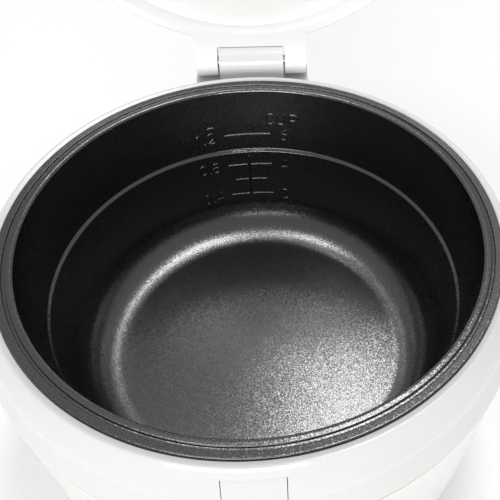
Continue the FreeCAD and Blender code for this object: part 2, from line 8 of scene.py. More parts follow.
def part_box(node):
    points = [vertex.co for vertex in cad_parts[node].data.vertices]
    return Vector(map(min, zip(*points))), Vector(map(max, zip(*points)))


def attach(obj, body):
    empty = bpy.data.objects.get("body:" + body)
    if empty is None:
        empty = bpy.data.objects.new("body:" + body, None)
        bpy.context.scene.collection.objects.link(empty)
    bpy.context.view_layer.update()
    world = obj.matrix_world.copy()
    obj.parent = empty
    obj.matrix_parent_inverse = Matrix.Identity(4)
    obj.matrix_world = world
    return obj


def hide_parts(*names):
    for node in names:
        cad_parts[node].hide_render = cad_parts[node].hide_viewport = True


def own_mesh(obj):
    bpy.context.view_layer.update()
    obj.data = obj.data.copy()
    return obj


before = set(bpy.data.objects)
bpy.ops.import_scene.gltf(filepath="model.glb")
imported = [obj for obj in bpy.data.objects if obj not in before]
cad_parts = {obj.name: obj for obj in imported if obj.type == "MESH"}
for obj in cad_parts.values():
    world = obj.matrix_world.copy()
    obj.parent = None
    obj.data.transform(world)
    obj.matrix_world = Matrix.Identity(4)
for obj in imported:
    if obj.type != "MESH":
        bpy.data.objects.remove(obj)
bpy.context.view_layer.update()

# ---------------------------------------------------------------- camera
# A normal lens close to the open cooker, looking down into it from the front.  The shift is the
# part of the frame that was cropped away on one side.
view = bpy.data.cameras.new("camera")
view.sensor_width = 36
view.lens = 50.4
view.shift_x = -0.1247
view.shift_y = -0.0234
view.clip_start = 0.01
camera = bpy.data.objects.new("camera", view)
camera.location = (0.0103, -0.19634, 0.33703)
camera.rotation_euler = [math.radians(turn) for turn in (42.83, -0.58, -3.486)]
bpy.context.scene.collection.objects.link(camera)
bpy.context.scene.camera = camera
bpy.context.scene.view_settings.view_transform = "Standard"

# ---------------------------------------------------------------- foot ring
# The cooker stands on one ring of black rubber, pressed into the bottom cover.
# It is moulded with rounded corners and has the dull, slightly dusty face of nitrile rubber.
MM = 0.001
RUBBER_GRAIN_MM = 0.35
RUBBER, RUBBER_DUSTY = "#1D1D1E", "#2E2D2C"


def linear(hex_colour):
    """An sRGB hex colour as linear red, green, blue and alpha."""
    channels = [int(hex_colour[at:at + 2], 16) / 255 for at in (1, 3, 5)]
    return [c / 12.92 if c <= 0.04045 else ((c + 0.055) / 1.055) ** 2.4 for c in channels] + [1]


def add_node(material, kind, settings={}, values={}, links={}):
    """Add one node to a material; settings are its own properties, values and links its inputs."""
    node = material.node_tree.nodes.new("ShaderNode" + kind)
    for name, value in settings.items():
        setattr(node, name, value)
    for name, value in values.items():
        node.inputs[name].default_value = value
    for name, (source, output) in links.items():
        material.node_tree.links.new(source.outputs[output], node.inputs[name])
    return node


def new_surface(name, values):
    """A material with its Principled shader, and the place in millimetres that its patterns use."""
    material = bpy.data.materials.new(name)
    material.use_nodes = True
    shader = material.node_tree.nodes["Principled BSDF"]
    for socket, value in values.items():
        shader.inputs[socket].default_value = value
    place = add_node(material, "TexCoord")
    millimetres = add_node(material, "VectorMath", {"operation": "SCALE"}, {"Scale": 1 / MM},
                           {"Vector": (place, "Object")})
    return material, shader, millimetres


def join(material, source, output, shader, socket):
    material.node_tree.links.new(source.outputs[output], shader.inputs[socket])


def colour_ramp(material, source, output, stops):
    """A ramp between colours; a stop is (position, colour)."""
    ramp = add_node(material, "ValToRGB", links={"Fac": (source, output)})
    while len(ramp.color_ramp.elements) < len(stops):
        ramp.color_ramp.elements.new(0.5)
    for element, (position, colour) in zip(ramp.color_ramp.elements, stops):
        element.position, element.color = position, linear(colour)
    return ramp


# Nitrile rubber as it leaves the mould: nearly black, dull, with a fine even grain.
rubber, shader, place = new_surface("nitrile_rubber", {"Roughness": 0.8, "IOR": 1.52})
grain = add_node(rubber, "TexNoise", {}, {"Scale": 1 / RUBBER_GRAIN_MM, "Detail": 3},
                 {"Vector": (place, "Vector")})
join(rubber, colour_ramp(rubber, grain, "Fac", [(0.35, RUBBER), (0.75, RUBBER_DUSTY)]), "Color",
     shader, "Base Color")
relief = add_node(rubber, "Bump", {}, {"Strength": 0.5, "Distance": 0.0001},
                  {"Height": (grain, "Fac")})
join(rubber, relief, "Normal", shader, "Normal")


def rounded(corners):
    """The points of a section in millimetres; a corner is (radius, height) or also its round."""
    points = []
    for index, corner in enumerate(corners):
        here = Vector(corner[:2])
        before = Vector(corners[index - 1][:2]) - here
        after = Vector(corners[(index + 1) % len(corners)][:2]) - here
        if len(corner) == 2:
            points.append(here)
            continue
        half = before.angle(after) / 2
        reach = min(corner[2] / math.tan(half), before.length * 0.48, after.length * 0.48)
        centre = (here + (before.normalized() + after.normalized()).normalized() * reach
                  / math.cos(half))
        start = here + before.normalized() * reach - centre
        end = here + after.normalized() * reach - centre
        sweep, steps = start.angle(end), 4 + int(corner[2])
        points += [centre + (start * math.sin((1 - at / steps) * sweep)
                             + end * math.sin(at / steps * sweep)) / math.sin(sweep)
                   for at in range(steps + 1)]
    return guarded(points)


def guarded(points):
    """The same section with a point close to each end of its long sides, so that they stay flat."""
    kept = []
    for index, here in enumerate(points):
        before = points[index - 1] - here
        after = points[(index + 1) % len(points)] - here
        kept += [here + before.normalized() * 0.25] if before.length > 1.2 else []
        kept.append(here)
        kept += [here + after.normalized() * 0.25] if after.length > 1.2 else []
    return kept


def mesh_object(name, vertices, faces, material, smooth=True):
    """A mesh in millimetres, as an object in metres."""
    mesh = bpy.data.meshes.new(name)
    mesh.from_pydata([Vector(v) * MM for v in vertices], [], faces)
    work = bmesh.new()
    work.from_mesh(mesh)
    bmesh.ops.recalc_face_normals(work, faces=work.faces)
    work.to_mesh(mesh)
    work.free()
    mesh.polygons.foreach_set("use_smooth", [smooth] * len(mesh.polygons))
    mesh.materials.append(material)
    piece = bpy.data.objects.new(name, mesh)
    bpy.context.scene.collection.objects.link(piece)
    return piece


def turned(name, section, material, around=288):
    """A closed section (radius, height) turned about the Z axis."""
    vertices, faces, count = [], [], len(section)
    for step in range(around):
        turn = 2 * math.pi * step / around
        vertices += [(p[0] * math.sin(turn), p[0] * math.cos(turn), p[1]) for p in section]
    for step in range(around):
        here, there = step * count, (step + 1) % around * count
        for index in range(count):
            following = (index + 1) % count
            faces.append((here + index, here + following, there + following, there + index))
    return mesh_object(name, vertices, faces, material)


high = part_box("foot_ring")[1]
foot_outer, foot_top = high.x / MM, high.z / MM
FOOT_WIDE, CHANNEL_FROM, CHANNEL_TO, CHANNEL_DEEP = 8, 5.2, 2.8, 0.8
foot = turned("foot_ring_moulded", rounded([
    (foot_outer, 0, 1.2), (foot_outer, foot_top, 0.4), (foot_outer - FOOT_WIDE, foot_top, 0.4),
    (foot_outer - FOOT_WIDE, 0, 1.2), (foot_outer - CHANNEL_FROM, 0, 0.3),
    (foot_outer - CHANNEL_FROM, CHANNEL_DEEP, 0.2), (foot_outer - CHANNEL_TO, CHANNEL_DEEP, 0.2),
    (foot_outer - CHANNEL_TO, 0, 0.3)]), rubber)
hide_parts("foot_ring")
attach(foot, "housing")

# ---------------------------------------------------------------- bottom cover and its screws
# The underside is closed by a dish of white plastic on four screws.
# It is moulded like the rest of the shell, with a finely spark-eroded, less glossy face.
# The collar, body and lid are one white resin. Their base whites are painted lighter and darker
# copies that stand in for how light falls on each: the collar's white here is painted darker, the
# lid's painted lighter.
SHELL_PAINTED_DARKER, SHELL_PAINTED_DARKER_FLOW = "#D6D5D4", "#D3D2D1"
LID_PAINTED_LIGHTER, LID_PAINTED_LIGHTER_FLOW = "#F1F1F0", "#EEEEED"
FLOW_MM = 55
TEXTURE_MM = 0.5


def white_plastic(name, roughness, relief_mm, relief_size_mm, shade=SHELL_PAINTED_DARKER_FLOW, white=SHELL_PAINTED_DARKER):
    """White ABS, from a tool with a smoother or a coarser face; its base white is set per moulding
    as painted light and shade on one resin.
    """
    material, shader, place = new_surface(name, {"Roughness": roughness, "IOR": 1.54})
    flow = add_node(material, "TexNoise", {}, {"Scale": 1 / FLOW_MM, "Detail": 2},
                    {"Vector": (place, "Vector")})
    join(material, colour_ramp(material, flow, "Fac", [(0.3, shade), (0.7, white)]),
         "Color", shader, "Base Color")
    skin = add_node(material, "TexNoise", {}, {"Scale": 1 / relief_size_mm, "Detail": 2},
                    {"Vector": (place, "Vector")})
    relief = add_node(material, "Bump", {}, {"Strength": 1, "Distance": relief_mm * MM},
                      {"Height": (skin, "Fac")})
    join(material, relief, "Normal", shader, "Normal")
    return material


# ABS from a spark-eroded tool: an even, satin white with a texture of about half a millimetre.
# Its base white is the collar's painted-darker white, painted shade on the same resin.
satin_abs = white_plastic("textured_white_abs", 0.42, 0.012, TEXTURE_MM)


def give(material, *nodes):
    """Finish CAD nodes with a material."""
    for name in nodes:
        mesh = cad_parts[name].data
        mesh.materials.clear()
        mesh.materials.append(material)


give(satin_abs, "bottom_cover")

# Zinc-plated steel: bright, a little uneven, with the fine haze of barrel plating.
ZINC, ZINC_DULL = "#C9CBCD", "#A9ABAC"
plated, shader, place = new_surface("zinc_plated_steel", {"Metallic": 1, "Roughness": 0.3})
haze = add_node(plated, "TexNoise", {}, {"Scale": 1 / 1.5, "Detail": 4},
                {"Vector": (place, "Vector")})
join(plated, colour_ramp(plated, haze, "Fac", [(0.35, ZINC_DULL), (0.65, ZINC)]), "Color",
     shader, "Base Color")
dull = add_node(plated, "MapRange", {}, {"To Min": 0.22, "To Max": 0.42}, {"Value": (haze, "Fac")})
join(plated, dull, "Result", shader, "Roughness")
give(plated, "base_screws", "lid_screws", "lever_pin", "hinge_pin", "lever_bracket",
     "sensor_bracket")

# ---------------------------------------------------------------- lower body
# The outside wall is one tapering shell of glossy white ABS, with openings for the cook lever,
# the two lamps and the power socket.  Its top slips up inside the collar.
GLOSS_PEEL_MM = 4.5


def eased(name, node, width, material, body, angle=35):
    """The piece of a CAD node with its hard corners rounded, as they leave a mould."""
    work = bmesh.new()
    work.from_mesh(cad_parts[node].data)
    bmesh.ops.remove_doubles(work, verts=work.verts, dist=2e-6)
    bmesh.ops.dissolve_limit(work, angle_limit=math.radians(0.6), verts=work.verts,
                             edges=work.edges)
    corners = [edge for edge in work.edges if len(edge.link_faces) == 2
               and edge.calc_face_angle(0) > math.radians(angle)]
    bmesh.ops.bevel(work, geom=corners, offset=width * MM, segments=3, profile=0.5,
                    affect="EDGES", clamp_overlap=True)
    mesh = bpy.data.meshes.new(name)
    work.to_mesh(mesh)
    work.free()
    mesh.polygons.foreach_set("use_smooth", [True] * len(mesh.polygons))
    mesh.materials.append(material)
    piece = bpy.data.objects.new(name, mesh)
    bpy.context.scene.collection.objects.link(piece)
    even = piece.modifiers.new("even", "WEIGHTED_NORMAL")
    even.keep_sharp = True
    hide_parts(node)
    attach(piece, body)
    return piece


# Polished ABS: cool white and glossy, with the faint orange peel of a thick moulding.
# Its base white is the collar's painted-darker white, painted shade on the same resin.
gloss_abs = white_plastic("polished_white_abs", 0.18, 0.006, GLOSS_PEEL_MM)
# The body and hinge get a white painted between the collar's and the lid's: painted light and shade
# on the same resin.
BODY_PAINTED_BETWEEN, BODY_PAINTED_BETWEEN_FLOW = "#DEDDDC", "#DAD9D8"
body_abs = white_plastic("polished_body_abs", 0.22, 0.006, GLOSS_PEEL_MM, BODY_PAINTED_BETWEEN_FLOW, BODY_PAINTED_BETWEEN)
body = eased("outer_body_moulded", "outer_body", 0.4, body_abs, "housing")
# Its top stands out until it is almost flush with the collar, across a narrow shadow gap.
WAIST, FLARE = 57, 1.35
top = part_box("outer_body")[1].z / MM
for point in body.data.vertices:
    rise = max(0, (point.co.z / MM - WAIST) / (top - WAIST))
    point.co.xy *= 1 + FLARE * MM * rise / max(point.co.xy.length, MM)

# ---------------------------------------------------------------- liner and its warming band
# The pot hangs in a deep-drawn liner of aluminised steel, spot-welded shut.
# Drawing leaves it streaked up its side and a little cloudy.
ALUMINISED, ALUMINISED_DULL = "#C2C4C4", "#9C9E9F"
liner_sheet, shader, place = new_surface("aluminised_steel", {"Metallic": 1, "Roughness": 0.36})
streak = add_node(liner_sheet, "Mapping", {}, {"Scale": (1, 1, 0.06)},
                  {"Vector": (place, "Vector")})
drawn = add_node(liner_sheet, "TexNoise", {}, {"Scale": 1 / 1.2, "Detail": 3},
                 {"Vector": (streak, "Vector")})
join(liner_sheet,
     colour_ramp(liner_sheet, drawn, "Fac", [(0.3, ALUMINISED_DULL), (0.7, ALUMINISED)]),
     "Color", shader, "Base Color")
cloud = add_node(liner_sheet, "MapRange", {}, {"To Min": 0.28, "To Max": 0.5},
                 {"Value": (drawn, "Fac")})
join(liner_sheet, cloud, "Result", shader, "Roughness")
give(liner_sheet, "liner")

# The warming band is resistance wire in a sleeve of woven glass fibre, wrapped round the liner.
GLASS_SLEEVE, GLASS_SHADOW = "#D8D2C2", "#A79F8C"
WEAVE_MM = 1.4
sleeve, shader, place = new_surface("woven_glass_sleeve", {"Roughness": 0.9})
weave = add_node(sleeve, "TexWave", {"bands_direction": "DIAGONAL"},
                 {"Scale": 0.314 / WEAVE_MM, "Distortion": 0.6}, {"Vector": (place, "Vector")})
join(sleeve, colour_ramp(sleeve, weave, "Fac", [(0.2, GLASS_SHADOW), (0.8, GLASS_SLEEVE)]), "Color",
     shader, "Base Color")
relief = add_node(sleeve, "Bump", {}, {"Strength": 0.8, "Distance": 0.0003},
                  {"Height": (weave, "Fac")})
join(sleeve, relief, "Normal", shader, "Normal")
give(sleeve, "side_heater_band")

# ---------------------------------------------------------------- heating plate and its shield
# A disc of die-cast aluminium with a sheathed element pressed into its underside, on three
# aluminium spacers.  Its top is faced on a lathe, which leaves fine rings.
CAST, CAST_DULL = "#BFC1C3", "#8E9092"
RING_MM = 0.9
cast, shader, place = new_surface("faced_cast_aluminium", {"Metallic": 1, "Roughness": 0.38})
rings = add_node(cast, "TexWave", {"wave_type": "RINGS", "rings_direction": "Z"},
                 {"Scale": 0.314 / RING_MM, "Distortion": 0.8, "Detail": 2},
                 {"Vector": (place, "Vector")})
join(cast, colour_ramp(cast, rings, "Fac", [(0.2, CAST_DULL), (0.8, CAST)]), "Color", shader,
     "Base Color")
relief = add_node(cast, "Bump", {}, {"Strength": 0.35, "Distance": 0.0001},
                  {"Height": (rings, "Fac")})
join(cast, relief, "Normal", shader, "Normal")
give(cast, "heating_plate", "plate_spacers")

# The element's sheath is steel tube, browned by the heat.
SHEATH, SHEATH_BURNT = "#8C7F73", "#4F463F"
sheath, shader, place = new_surface("heat_browned_steel", {"Metallic": 1, "Roughness": 0.45})
burn = add_node(sheath, "TexNoise", {}, {"Scale": 1 / 9, "Detail": 4},
                {"Vector": (place, "Vector")})
join(sheath, colour_ramp(sheath, burn, "Fac", [(0.35, SHEATH_BURNT), (0.65, SHEATH)]), "Color",
     shader, "Base Color")
give(sheath, "heater_element")

# Rolled aluminium sheet, for the shield under the plate: soft, bright, with the mill's fine lines.
SHEET, SHEET_DULL = "#CFD1D2", "#B2B4B6"
rolled, shader, place = new_surface("rolled_aluminium_sheet", {"Metallic": 1, "Roughness": 0.3})
lines = add_node(rolled, "Mapping", {}, {"Scale": (0.05, 1, 1)}, {"Vector": (place, "Vector")})
mill = add_node(rolled, "TexNoise", {}, {"Scale": 1 / 0.8, "Detail": 3},
                {"Vector": (lines, "Vector")})
join(rolled, colour_ramp(rolled, mill, "Fac", [(0.3, SHEET_DULL), (0.7, SHEET)]), "Color", shader,
     "Base Color")
brushed = add_node(rolled, "MapRange", {}, {"To Min": 0.22, "To Max": 0.4},
                   {"Value": (mill, "Fac")})
join(rolled, brushed, "Result", shader, "Roughness")
give(rolled, "heat_shield", "sensor_cup")

# ---------------------------------------------------------------- springs, magnet and fuse
# The springs are music wire, drawn, coiled and oiled: grey-blue and shiny along the wire.
WIRE, WIRE_BLUE = "#8B8F95", "#5D6269"
wire, shader, place = new_surface("oiled_spring_wire", {"Metallic": 1, "Roughness": 0.28})
oil = add_node(wire, "TexNoise", {}, {"Scale": 1 / 2.5, "Detail": 3}, {"Vector": (place, "Vector")})
join(wire, colour_ramp(wire, oil, "Fac", [(0.35, WIRE_BLUE), (0.65, WIRE)]), "Color", shader,
     "Base Color")
give(wire, "lid_spring")


def squeezed(name, node):
    """A compression spring, copied from its CAD node in oiled wire and fixed to the housing."""
    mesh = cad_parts[node].data.copy()
    mesh.materials.clear()
    mesh.materials.append(wire)
    spring = bpy.data.objects.new(name, mesh)
    bpy.context.scene.collection.objects.link(spring)
    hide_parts(node)
    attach(spring, "housing")
    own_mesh(spring)


squeezed("release_spring_coiled", "release_spring")
squeezed("sensor_spring_coiled", "sensor_spring")

# The magnet is pressed ferrite: charcoal, matt and slightly pitted.
FERRITE, FERRITE_PIT = "#3A3B3D", "#232425"
ferrite, shader, place = new_surface("pressed_ferrite", {"Roughness": 0.62})
pits = add_node(ferrite, "TexNoise", {}, {"Scale": 1 / 0.6, "Detail": 3},
                {"Vector": (place, "Vector")})
join(ferrite, colour_ramp(ferrite, pits, "Fac", [(0.4, FERRITE_PIT), (0.6, FERRITE)]), "Color",
     shader, "Base Color")
give(ferrite, "magnet_rod")

# The thermal fuse is a tinned copper can with a bead of pale resin at one end.
TINNED, RESIN = "#BDBBB6", "#D9C9A6"
fuse_can, shader, place = new_surface("tinned_copper_can", {"Metallic": 0.8, "Roughness": 0.33})
along = add_node(fuse_can, "SeparateXYZ", links={"Vector": (place, "Vector")})
bead = add_node(fuse_can, "MapRange", {}, {"From Min": 35, "From Max": 36.5},
                {"Value": (along, "X")})
join(fuse_can, colour_ramp(fuse_can, bead, "Result", [(0, TINNED), (1, RESIN)]), "Color", shader,
     "Base Color")
give(fuse_can, "thermal_fuse")

# ---------------------------------------------------------------- cook lever, lamps and panel
# The lever, the lamps' panel and the switch are moulded in grey and black resins.
# The visible grey pieces have a fine satin texture; the inner ones are plain glass-filled nylon.
GREY, GREY_DEEP = "#A9ABAD", "#9C9EA1"
BLACK_NYLON, BLACK_NYLON_PALE = "#1B1C1D", "#2C2C2C"


def resin(name, light, dark, grain_mm, roughness, relief_mm):
    """A coloured engineering resin with its own grain."""
    material, shader, place = new_surface(name, {"Roughness": roughness, "IOR": 1.53})
    grain = add_node(material, "TexNoise", {}, {"Scale": 1 / grain_mm, "Detail": 3},
                     {"Vector": (place, "Vector")})
    join(material, colour_ramp(material, grain, "Fac", [(0.3, dark), (0.7, light)]), "Color",
         shader, "Base Color")
    relief = add_node(material, "Bump", {}, {"Strength": 0.8, "Distance": relief_mm * MM},
                      {"Height": (grain, "Fac")})
    join(material, relief, "Normal", shader, "Normal")
    return material


grey_abs = resin("satin_grey_abs", GREY, GREY_DEEP, 0.6, 0.4, 0.02)
black_nylon = resin("glass_filled_nylon", BLACK_NYLON_PALE, BLACK_NYLON, 0.8, 0.5, 0.05)
eased("cook_lever_moulded", "cook_lever", 0.8, grey_abs, "lever")
eased("control_plate_moulded", "control_plate", 0.5, grey_abs, "housing")
give(black_nylon, "cook_switch", "terminal_block")

# Tinted polycarbonate, clear and glossy: the light of the lamp board would show through it.


def lens(name, colour):
    """A moulded lens with faint flow lines in its tint."""
    material, shader, place = new_surface(name, {"Roughness": 0.08, "IOR": 1.58,
                                                 "Transmission Weight": 0.35})
    flow = add_node(material, "TexNoise", {}, {"Scale": 1 / 2, "Detail": 2},
                    {"Vector": (place, "Vector")})
    join(material, colour_ramp(material, flow, "Fac", [(0.2, colour[0]), (0.8, colour[1])]),
         "Color", shader, "Base Color")
    return material


eased("cook_lamp_moulded", "cook_lamp", 0.5, lens("red_polycarbonate", ("#8E1410", "#B3231B")),
      "housing")
eased("warm_lamp_moulded", "warm_lamp", 0.5, lens("amber_polycarbonate", ("#B0670F", "#D0831C")),
      "housing")

# The board is glass-epoxy laminate under green solder mask, with its weave just showing.
MASK, MASK_DARK = "#1E5A38", "#17482C"
board = resin("glass_epoxy_board", MASK, MASK_DARK, 1.1, 0.35, 0.02)
give(board, "lamp_board")

# ---------------------------------------------------------------- power inlet
# A socket of black heat-proof resin with two brass pins, let into the back of the body.
BRASS, BRASS_DULL = "#B89B5E", "#8F7641"
brass, shader, place = new_surface("turned_brass", {"Metallic": 1, "Roughness": 0.25})
tarnish = add_node(brass, "TexNoise", {}, {"Scale": 1 / 3, "Detail": 4},
                   {"Vector": (place, "Vector")})
join(brass, colour_ramp(brass, tarnish, "Fac", [(0.35, BRASS_DULL), (0.65, BRASS)]), "Color",
     shader, "Base Color")
give(brass, "inlet_pins")
eased("power_inlet_moulded", "power_inlet", 0.5, black_nylon, "housing")

# ---------------------------------------------------------------- inner pot
# The pot is deep-drawn from aluminium, with a ledge pressed in a third of the way down, a rolled
# bead and a flat flange round its mouth.  The graduations are embossed on the wall at the back.
# Outside and inside are sprayed with black non-stick coating.
low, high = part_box("inner_pot")
rim, floor = high.z / MM, low.z / MM
# Radii, and drops below the rim.
FLOOR_R, FLOOR_DROP, CORNER_ROUND, FLOOR_THICK = 83, 83, 20, 2.4
LEDGE_FOOT_R, LEDGE_FOOT_DROP, LEDGE_TOP_R, LEDGE_TOP_DROP = 87.2, 35.2, 88.5, 33.9
BEAD_R, BEAD_ROUND, GROOVE_IN, GROOVE_OUT, GROOVE_DEEP = 92.5, 3.6, 95.3, 96.7, 0.8
FLANGE_R, FLANGE_RISE, FLANGE_UNDER = 99.7, 0.4, 2.2
WALL = ((-4, 92.3), (-LEDGE_TOP_DROP, LEDGE_TOP_R), (-LEDGE_FOOT_DROP, LEDGE_FOOT_R),
        (-FLOOR_DROP, FLOOR_R))
GRIT_MM, GRAIN_TILT = 0.38, 0.1
COATING_BLACK, COATING_GREY = "#060607", "#111112"

# PTFE filled with mica, baked on: black, half glossy, and brighter at a glance than plain resin.
# Its grit is about a tenth of a millimetre; it is drawn as coarse as it needs to show.
coating, shader, place = new_surface("mica_black_nonstick", {"IOR": 2.1})
cells = add_node(coating, "TexVoronoi", {}, {"Scale": 1 / GRIT_MM}, {"Vector": (place, "Vector")})
lot = add_node(coating, "SeparateColor", links={"Color": (cells, "Color")})
join(coating, colour_ramp(coating, lot, "Red", [(0.6, COATING_BLACK), (1, COATING_GREY)]), "Color",
     shader, "Base Color")
matt = add_node(coating, "MapRange", {}, {"To Min": 0.15, "To Max": 0.29},
                {"Value": (lot, "Green")})
join(coating, matt, "Result", shader, "Roughness")
# Each grain of mica lies at its own small angle, so the edge of every reflection breaks up.
centred = add_node(coating, "VectorMath", {"operation": "SUBTRACT"}, {1: (0.5, 0.5, 0.5)},
                   {0: (cells, "Color")})
tilted = add_node(coating, "VectorMath", {"operation": "SCALE"}, {"Scale": GRAIN_TILT},
                  {"Vector": (centred, "Vector")})
surface = add_node(coating, "NewGeometry")
leaning = add_node(coating, "VectorMath", {"operation": "ADD"}, {},
                   {0: (surface, "Normal"), 1: (tilted, "Vector")})
even = add_node(coating, "VectorMath", {"operation": "NORMALIZE"}, {},
                {"Vector": (leaning, "Vector")})
join(coating, even, "Vector", shader, "Normal")

pot = turned("inner_pot_drawn", rounded([
    (0.05, floor + FLOOR_THICK), (FLOOR_R, rim - 83.4, CORNER_ROUND),
    (LEDGE_FOOT_R, rim - LEDGE_FOOT_DROP, 0.7), (LEDGE_TOP_R, rim - LEDGE_TOP_DROP, 0.7),
    (BEAD_R, rim, BEAD_ROUND), (GROOVE_IN, rim, 0.3), (95.5, rim - GROOVE_DEEP, 0.2),
    (96.5, rim - GROOVE_DEEP, 0.2), (GROOVE_OUT, rim, 0.3), (FLANGE_R, rim + FLANGE_RISE, 0.4),
    (99.6, rim - 0.5, 0.4), (97.6, rim - FLANGE_UNDER, 0.6), (94.9, rim - FLANGE_UNDER, 1),
    (93.8, rim - 4.6), (90.2, rim - 34.3, 0.8), (88.8, rim - 35.8, 0.8), (84.6, floor, 21.6),
    (0.05, floor)]), coating, 384)

OVAL = [(math.sin(turn * math.pi / 8) / 2 + 0.5, math.cos(turn * math.pi / 8) / 2 + 0.5)
        for turn in range(17)]
STROKES = {
    "0": [OVAL],
    "1": [[(0.35, 0.78), (0.6, 1), (0.6, 0)]],
    "2": [[(0.02, 0.74), (0.12, 0.93), (0.5, 1), (0.88, 0.93), (0.97, 0.72), (0.85, 0.5), (0.03, 0),
           (1, 0)]],
    "4": [[(0.72, 0), (0.72, 1), (0, 0.28), (1, 0.28)]],
    "6": [[(0.85, 1), (0.5, 0.93), (0.12, 0.66), (0.02, 0.32), (0.2, 0.05), (0.5, 0), (0.82, 0.05),
           (0.98, 0.3), (0.82, 0.55), (0.5, 0.6), (0.2, 0.54), (0.04, 0.36)]],
    "8": [[(x * 0.84 + 0.08, y * 0.46 + 0.54) for x, y in OVAL], [(x, y * 0.54) for x, y in OVAL]],
    ".": [[(0.3, 0), (0.5, 0)]],
    "C": [[(1, 0.78), (0.82, 0.95), (0.5, 1), (0.16, 0.9), (0, 0.5), (0.16, 0.1), (0.5, 0),
           (0.82, 0.05), (1, 0.22)]],
    "U": [[(0, 1), (0, 0.25), (0.16, 0.05), (0.5, 0), (0.84, 0.05), (1, 0.25), (1, 1)]],
    "P": [[(0, 0), (0, 1), (0.7, 1), (0.95, 0.9), (1, 0.72), (0.92, 0.52), (0.7, 0.44), (0, 0.44)]],
    "L": [[(0, 1), (0, 0), (1, 0)]],
}
# Each mark is (text, along the wall from its middle, drop of its top); they count cups and litres.
TEXTS = (("C", 6.7, -13.6), ("U", 12.2, -13.6), ("P", 18.6, -13.6), ("6", 13.4, -22.6),
         ("4", 13.2, -40), ("2", 13.2, -59.5), ("L", -24.2, -13.8), ("1", -31.2, -22.5),
         (".", -26.9, -22.5), ("2", -24, -22.5), ("0", -29.8, -40), (".", -25.6, -40),
         ("8", -23, -40), ("0", -29.2, -59.4), (".", -25, -59.4), ("4", -22.3, -59.4))
TICKS = ((-25.1, -15.6, 8.4), (-34.6, -12.2, -3.9), (-34.6, -2.9, 5.4), (-42.8, -14.6, -4.1),
         (-42.8, -2.7, 8.5), (-52.4, -11.3, -4.1), (-52.4, -2.7, 5.8), (-62.2, -14, -4.1),
         (-62.2, -2.7, 8.9))
GLYPH_WIDE, GLYPH_TALL, RIB_WIDE, RIB_HIGH = 3.7, 5.7, 0.85, 0.5


def wall_radius(drop):
    """The pot's inner radius at a drop below its rim."""
    for (upper, outer), (lower, inner) in zip(WALL, WALL[1:]):
        if drop >= lower:
            return inner + (outer - inner) * (drop - lower) / (upper - lower)
    return WALL[-1][1]


def emboss(line, vertices, faces):
    """Raise a half-round rib on the wall along a line of (along, drop) points."""
    count = len(RIB_SECTION)
    first = len(vertices)
    for index, (along, drop) in enumerate(line):
        ahead = Vector(line[min(index + 1, len(line) - 1)]) - Vector(line[max(index - 1, 0)])
        side = Vector((-ahead.y, ahead.x)).normalized()
        for across, lift in RIB_SECTION:
            here = Vector((along, drop)) + side * across
            radius = wall_radius(here.y)
            turn = here.x / radius
            vertices.append(((radius - lift) * math.sin(turn), (radius - lift) * math.cos(turn),
                             rim + here.y))
    for index in range(len(line) - 1):
        for at in range(count):
            a, b = first + index * count + at, first + index * count + (at + 1) % count
            faces.append((a, b, b + count, a + count))
    faces.append(tuple(range(first, first + count)))
    faces.append(tuple(range(len(vertices) - count, len(vertices))))


def fine(line, step=0.4):
    """The same line in short steps, so that it follows the round wall."""
    points = []
    for start, end in zip(line, line[1:]):
        parts = max(1, round((Vector(end) - Vector(start)).length / step))
        points += [tuple(Vector(start).lerp(Vector(end), at / parts)) for at in range(parts)]
    return points + [line[-1]]


RIB_SECTION = [(RIB_WIDE * across, RIB_HIGH * lift) for across, lift in
               ((-0.5, -0.3), (-0.45, 0.35), (-0.22, 0.88), (0, 1), (0.22, 0.88), (0.45, 0.35),
                (0.5, -0.3))]
vertices, faces = [], []
for drop, left, right in TICKS:
    emboss(fine([(left, drop), (right, drop)]), vertices, faces)
emboss(fine([(-3.4, -37.5), (-3.4, -63)]), vertices, faces)
for glyph, along, top in TEXTS:
    for stroke in STROKES[glyph]:
        emboss(fine([(along + x * GLYPH_WIDE, top - GLYPH_TALL * (1 - y)) for x, y in stroke]),
               vertices, faces)
marks = mesh_object("inner_pot_marks", vertices, faces, coating)
for piece in (pot, marks):
    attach(piece, "pot")
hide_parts("inner_pot")

# ---------------------------------------------------------------- collar
# The collar snaps over the lower body and carries the pot's flange.  It is one glossy white
# moulding: a low lip round the pot, a rounded shoulder, a crease and a flared band.
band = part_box("top_collar")[1].x / MM
lip, crease, crease_z = 101.7, 107.9, rim - 15.5
SEAT_R, SEAT_DROP, BAND_DROP, SPIGOT_R, SPIGOT_DROP, SHOULDER_ROUND = 97.8, 2.5, 28, 106.6, 33, 30


def shoulder(start, end, radius, steps=14):
    """Points on the bulging arc from start to end, which has its centre below and inside."""
    start, end = Vector(start), Vector(end)
    chord = end - start
    inward = Vector((chord.y, -chord.x)).normalized()
    centre = start + chord / 2 + inward * math.sqrt(radius ** 2 - chord.length_squared / 4)
    first, last = start - centre, end - centre
    sweep = first.angle(last)
    return [tuple(centre + (first * math.sin((1 - at / steps) * sweep)
                            + last * math.sin(at / steps * sweep)) / math.sin(sweep))
            for at in range(1, steps)]


